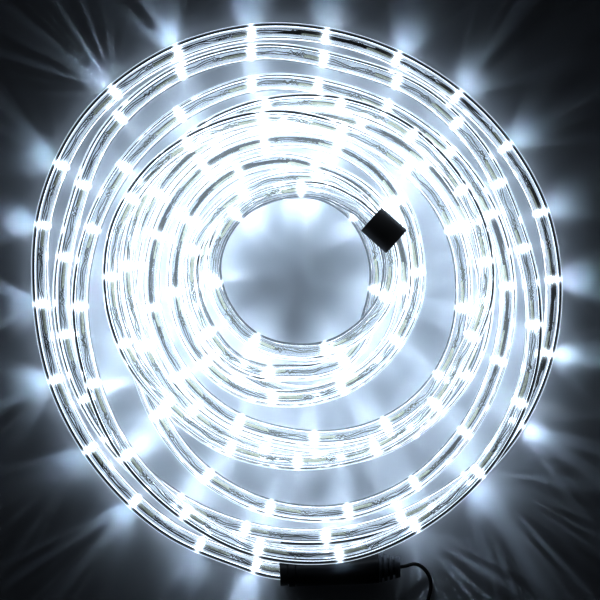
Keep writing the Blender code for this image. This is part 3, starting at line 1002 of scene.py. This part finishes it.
def add_lead_wires(line):
    """Two thin leads from led to led. They wave in the bore, tangle, and go into the sleeve."""
    shape = Shape()
    runs = led_runs(line)
    for index, led_run in enumerate(runs):
        start = runs[index - 1] + LED_LENGTH / 2 if index else LEAD_WIRE_START
        sleeve_start, end = sleeve_span(index, led_run)
        knot_start = sleeve_start - KNOT_LENGTH - 0.002 * sin(index * 2.6)
        run = np.linspace(start, end, max(8, round((end - start) / 0.0006)))
        tangle = knot_share(run, knot_start, sleeve_start + 0.001)
        inside = np.clip((run - sleeve_start) / 0.002, 0, 1)
        for half in (-1, 1):
            seed = index * 1.9 + 2.2 * half
            beside = LED_ASIDE / 2 + 0.0006 * half + 0.0009 * ripple(run, seed, SLOW)
            above = 0.0005 + 0.0009 * ripple(run, seed + 3, SLOW)
            beside += tangle * 0.0011 * ripple(run, seed + 1, TANGLED)
            above += tangle * 0.0009 * ripple(run, seed + 5, TANGLED)
            beside = beside * (1 - inside) + inside * (LED_ASIDE + half * 0.00105)
            above = above * (1 - inside) + inside * 0.0003
            add_bore_wire(shape, line, run, beside, above, LEAD_WIRE_RADIUS)
        add_loose_ends(shape, line, index, knot_start, sleeve_start)
    add_inside("led_leads", shape, lead_wire())


def add_loose_ends(shape, line, index, start, end):
    """The twisted joints of the leads, where they are soldered to the resistor."""
    for order in range(2):
        first = start + 0.001 * order
        run = np.linspace(first, end - 0.0008 * (1 - order), 14)
        seed = index * 2.7 + order * 1.9
        beside = LED_ASIDE / 2 + 0.0013 * ripple(run, seed, TANGLED)
        above = 0.0008 + 0.0008 * ripple(run, seed + 2, TANGLED)
        add_bore_wire(shape, line, run, beside, above, 0.8 * LEAD_WIRE_RADIUS)


# Fittings


def turned(shape, profile, sides, radius_at=None):
    """Rings turned round +X from (distance along, radius) points."""
    c, s = circle(sides)
    rings = []
    for along, radius in profile:
        scale = radius if radius_at is None else radius_at(along, radius, np.arctan2(s, c))
        rings.append(np.stack([np.full(sides, along), scale * c, scale * s], axis=-1))
    return shape.add_rings(np.array(rings))


def aim(made, start, along):
    """Turns the piece's +X to a level direction, with its start at a point."""
    up = Vector((0, 0, 1))
    side = up.cross(along)
    made.matrix_world = Matrix.Translation(start) @ Matrix((along, side, up)).transposed().to_4x4()
    bpy.context.view_layer.update()


def rounded(made, width):
    """Rounds the sharp edges."""
    bevel = made.modifiers.new("rounded", "BEVEL")
    bevel.width = width
    bevel.segments = 3
    bevel.limit_method = "ANGLE"
    bevel.angle_limit = radians(35)
    bevel.harden_normals = True
    made.data.set_sharp_from_angle(angle=radians(40))


def turned_piece(name, profile, look, start, along, width, sides=PIECE_SIDES, radius_at=None):
    """A turned piece of (distance along, radius) points, with its sharp edges rounded."""
    shape = Shape()
    turned(shape, profile, sides, radius_at)
    made = bpy.data.objects.new(name, shape.mesh(name))
    made.data.materials.append(look)
    bpy.context.scene.collection.objects.link(made)
    aim(made, start, along)
    rounded(made, width)
    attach(made, "root")
    return made


def stand_for(made, node):
    """Hides the part's node that a piece replaces."""
    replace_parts(made, node)


def add_end_cap(look):
    socket = TUBE_DIAMETER / 2 + CLEARANCE
    outside = CAP_DIAMETER / 2
    profile = (
        (CAP_SOCKET_DEPTH, NEARLY_ZERO),
        (CAP_SOCKET_DEPTH, socket),
        (0, socket),
        (0, outside),
        (CAP_LENGTH, outside),
        (CAP_LENGTH, outside - 0.0022),
        (CAP_LENGTH - 0.0003, outside - 0.0026),
        (CAP_LENGTH - 0.0003, NEARLY_ZERO),
    )
    start = on_plan(CAP_MOUTH, CAP_AXIS_HEIGHT)
    made = turned_piece("cap", profile, look, start, cap_way(), CAP_ROUNDING)
    stand_for(made, "end_cap")
    return made


def add_clamp_nut(look):
    """The nut, with a collar that closes the gap between it and the connector."""
    bore = TUBE_DIAMETER / 2 + CLEARANCE
    lip = NUT_LIP_DIAMETER / 2
    ring = NUT_RING_DIAMETER / 2
    collar = ring - 0.001
    groove = lip - NUT_GROOVE_DEPTH
    ring_start = NUT_LIP_WIDTH + NUT_GROOVE_WIDTH
    profile = (
        (0.004, bore),
        (0, bore),
        (0, lip),
        (NUT_LIP_WIDTH, lip),
        (NUT_LIP_WIDTH, groove),
        (ring_start, groove),
        (ring_start, ring),
        (nut_length(), ring),
        (nut_length(), collar),
        (nut_length() + CLEARANCE, collar),
        (nut_length() + CLEARANCE, bore),
    )
    start = on_connector_axis(0)
    made = turned_piece("nut", profile, look, start, connector_way(), FITTING_ROUNDING)
    stand_for(made, "clamp_nut")


def add_connector(look):
    """The connector, with a slightly thinner stretch at the boot's end."""
    outside = CONNECTOR_DIAMETER / 2
    socket = TUBE_DIAMETER / 2 + CLEARANCE
    profile = (
        (CONNECTOR_SOCKET_DEPTH, NEARLY_ZERO),
        (CONNECTOR_SOCKET_DEPTH, socket),
        (0, socket),
        (0, outside),
        (CONNECTOR_LENGTH * 0.5, outside),
        (CONNECTOR_LENGTH - 0.0035, outside - 0.0001),
        (CONNECTOR_LENGTH - 0.0032, outside - 0.0003),
        (CONNECTOR_LENGTH, outside - 0.0003),
        (CONNECTOR_LENGTH, NEARLY_ZERO),
    )
    start = on_connector_axis(nut_length() + CLEARANCE)
    made = turned_piece("connector", profile, look, start, connector_way(), FITTING_ROUNDING)
    stand_for(made, "power_connector")


def boot_start():
    return nut_length() + CLEARANCE + CONNECTOR_LENGTH + CLEARANCE


def boot_slot_starts():
    return [BOOT_FIRST_SLOT + slot * (BOOT_SLOT_WIDTH + BOOT_RIB_WIDTH) for slot in range(BOOT_SLOTS)]


def boot_radius(along, radius, angle):
    """Each slot goes all round but for a web at the bottom."""
    for start in boot_slot_starts():
        if start + 0.0001 < along < start + BOOT_SLOT_WIDTH - 0.0001:
            web = np.sin(angle) < -0.93
            return np.where(web, radius - 0.0001, radius - BOOT_SLOT_DEPTH)
    return np.full(len(angle), radius)


def add_boot(look):
    root = BOOT_ROOT_DIAMETER / 2
    taper = (BOOT_ROOT_DIAMETER - BOOT_END_DIAMETER) / 2 / BOOT_LENGTH
    alongs = [0]
    for start in boot_slot_starts():
        end = start + BOOT_SLOT_WIDTH
        alongs += [start, start + 0.00015, end - 0.00015, end]
    alongs.append(BOOT_LENGTH)
    profile = [(along, root - taper * along) for along in alongs]
    profile = [(0, NEARLY_ZERO)] + profile + [(BOOT_LENGTH, LEAD_DIAMETER / 2 + CLEARANCE)]
    start = on_connector_axis(boot_start())
    made = turned_piece(
        "boot", profile, look, start, connector_way(), BOOT_ROUNDING, radius_at=boot_radius
    )
    stand_for(made, "strain_relief")


# Supply lead


def coil_outer():
    return COIL_MEAN_RADIUS + COIL_COLUMNS * LEAD_DIAMETER / 2


def coil_reach():
    return sqrt((coil_outer() + CLEARANCE) ** 2 - (coil_outer() - LEAD_DIAMETER) ** 2)


def coil_centre():
    last = on_plan(*LEAD_ROUTE[-1])
    return Vector((last.x - coil_outer() + LEAD_DIAMETER / 2, last.y - COIL_DROP, 0))


def coil_turns():
    """The lead's turns, layer on layer, from the outside in and then out again, clockwise."""
    per_turn = 24
    centre = coil_centre()
    tracks = []
    for layer in range(COIL_LAYERS):
        columns = range(COIL_COLUMNS) if layer % 2 == 0 else reversed(range(COIL_COLUMNS))
        for column in columns:
            radius = coil_outer() - (column + 0.5) * LEAD_DIAMETER
            tracks.append((radius, (layer + 0.5) * LEAD_DIAMETER))
    points = []
    for index, (radius, height) in enumerate(tracks):
        ahead = tracks[min(index + 1, len(tracks) - 1)]
        last_turn = index == len(tracks) - 1
        for step in range(per_turn // 4 + 1 if last_turn else per_turn):
            shift = max(0.0, (step / per_turn - 0.75) / 0.25)
            shift = shift * shift * (3 - 2 * shift)
            angle = -2 * pi * step / per_turn
            r = radius + (ahead[0] - radius) * shift
            z = height + (ahead[1] - height) * shift
            points.append(centre + Vector((r * cos(angle), r * sin(angle), z)))
    return points


def tail_points():
    centre = coil_centre()
    start_x = centre.x - coil_reach()
    y = centre.y - coil_outer() + LEAD_DIAMETER / 2
    top = COIL_LAYERS * LEAD_DIAMETER - LEAD_DIAMETER / 2
    axis = PLUG_BODY_DIAMETER / 2
    return [
        Vector((start_x, y, top)),
        Vector((start_x - TAIL_RUN / 3, y, top - (top - axis) / 3)),
        Vector((start_x - TAIL_RUN * 2 / 3, y, axis)),
        Vector((start_x - TAIL_RUN, y, axis)),
        Vector((start_x - TAIL_RUN - PLUG_SOCKET_DEPTH + CLEARANCE, y, axis)),
    ]


def add_supply_lead(look, plug_pieces):
    """The whole lead: what the photo shows, the put away coil and the end with the plug."""
    boot_end = boot_start() + BOOT_LENGTH
    points = [on_connector_axis(boot_end - 0.001), on_connector_axis(boot_end)]
    points += [on_plan(units, height) for units, height in LEAD_ROUTE]
    path = smooth_path(points, 0.002) + coil_turns() + smooth_path(tail_points(), 0.003)
    curve = bpy.data.curves.new("lead", "CURVE")
    curve.dimensions = "3D"
    curve.bevel_depth = LEAD_DIAMETER / 2
    curve.bevel_resolution = 3
    curve.use_fill_caps = True
    spline = curve.splines.new("POLY")
    spline.points.add(len(path) - 1)
    for point, place in zip(spline.points, path):
        point.co = (*place, 1)
    spline.use_smooth = True
    made = bpy.data.objects.new("lead", curve)
    curve.materials.append(look)
    bpy.context.scene.collection.objects.link(made)
    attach(made, "root")
    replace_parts(made, "supply_lead", "lead_coil", "lead_tail")


def ridge(start, width, low, high):
    """Profile points of a ring that stands at another radius than its neighbours."""
    return [(start, low), (start, high), (start + width, high), (start + width, low)]


def add_plug(look):
    """The plug with its ribbed neck and grooved grip, and its metal barrel."""
    body = PLUG_BODY_DIAMETER / 2
    neck = PLUG_NECK_DIAMETER / 2
    neck_low = neck - 0.0006
    body_end = PLUG_NECK_LENGTH + PLUG_BODY_LENGTH
    profile = [(0.003, 0.0003), (0, LEAD_DIAMETER / 2 + 0.0002), (0, neck_low)]
    for rib in range(4):
        profile += ridge(0.0008 + rib * 0.0019, 0.0011, neck_low, neck)
    profile += [(PLUG_NECK_LENGTH, neck), (PLUG_NECK_LENGTH, body)]
    for groove in range(6):
        profile += ridge(PLUG_NECK_LENGTH + 0.004 + groove * 0.0021, 0.0008, body, body - 0.0004)
    profile += [(body_end, body), (body_end, NEARLY_ZERO)]
    start = tail_points()[-2]
    along = Vector((-1, 0, 0))
    plug = turned_piece("plug", profile, look, start, along, PLUG_ROUNDING)
    stand_for(plug, "supply_plug")
    barrel_start = body_end - 0.001
    tip = body_end + PLUG_BARREL_LENGTH
    metal = (
        (barrel_start, PLUG_BARREL_BORE / 2),
        (tip, PLUG_BARREL_BORE / 2),
        (tip, PLUG_BARREL_DIAMETER / 2),
        (barrel_start, PLUG_BARREL_DIAMETER / 2),
    )
    barrel = turned_piece("plug_barrel", metal, plug_metal(), start, along, PLUG_ROUNDING, 48)
    return [plug, barrel]


# Picture


def set_exposure():
    """Colour settings and light bounces. The light tree is off, since it misjudges lamps with rays."""
    scene = bpy.context.scene
    scene.view_settings.view_transform = "Standard"
    scene.view_settings.exposure = 0.0
    scene.view_settings.gamma = 0.7
    scene.cycles.use_denoising = True
    scene.cycles.use_light_tree = False
    scene.cycles.max_bounces = 9
    scene.cycles.transmission_bounces = 8
    scene.cycles.diffuse_bounces = 2
    scene.cycles.glossy_bounces = 3
    scene.cycles.transparent_max_bounces = 24
    scene.cycles.caustics_reflective = False
    scene.cycles.caustics_refractive = False
    scene.cycles.sample_clamp_indirect = 4.0


def add_bloom():
    scene = bpy.context.scene
    scene.use_nodes = True
    tree = scene.node_tree
    tree.nodes.clear()
    layers = tree.nodes.new("CompositorNodeRLayers")
    bloom = tree.nodes.new("CompositorNodeGlare")
    bloom.glare_type = "BLOOM"
    bloom.inputs["Threshold"].default_value = 0.9
    bloom.inputs["Maximum"].default_value = 12.0
    bloom.inputs["Strength"].default_value = BLOOM_STRENGTH
    bloom.inputs["Size"].default_value = BLOOM_SIZE
    shown = tree.nodes.new("CompositorNodeComposite")
    tree.links.new(layers.outputs["Image"], bloom.inputs["Image"])
    tree.links.new(bloom.outputs["Image"], shown.inputs["Image"])


def write_sizes():
    """Updates the scene's view layer."""
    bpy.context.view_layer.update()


def main():
    add_camera()
    plastic = black_moulding("black_plastic", (0.014, 0.016, 0.020), 0.28, 0.45, 2600, 0.00004)
    matte = black_moulding("cap_plastic", (0.008, 0.008, 0.010), 0.38, 0.55, 2200, 0.00006)
    rubber = black_moulding("lead_rubber", (0.012, 0.013, 0.015), 0.45, 0.65, 3200, 0.00005)
    # The boot's rubber is far paler than the lead's: painted light from the leds nearby on its ribs.
    boot_rubber = black_moulding("boot_rubber", (0.09, 0.10, 0.12), 0.3, 0.5, 3200, 0.00005)
    line = Line(smooth_path(tube_route(), 0.001))
    declare_rope(add_rope_skin(line), line, add_end_cap(matte))
    add_supply_lead(rubber, add_plug(plastic))
    add_bus_wires(line)
    add_leds(line)
    add_sleeves(line)
    add_lead_wires(line)
    add_clamp_nut(plastic)
    add_connector(plastic)
    add_boot(boot_rubber)
    add_led_lights(line)
    add_glow_lights(line)
    add_floor()
    add_studio_light()
    set_exposure()
    add_bloom()
    write_sizes()


main()
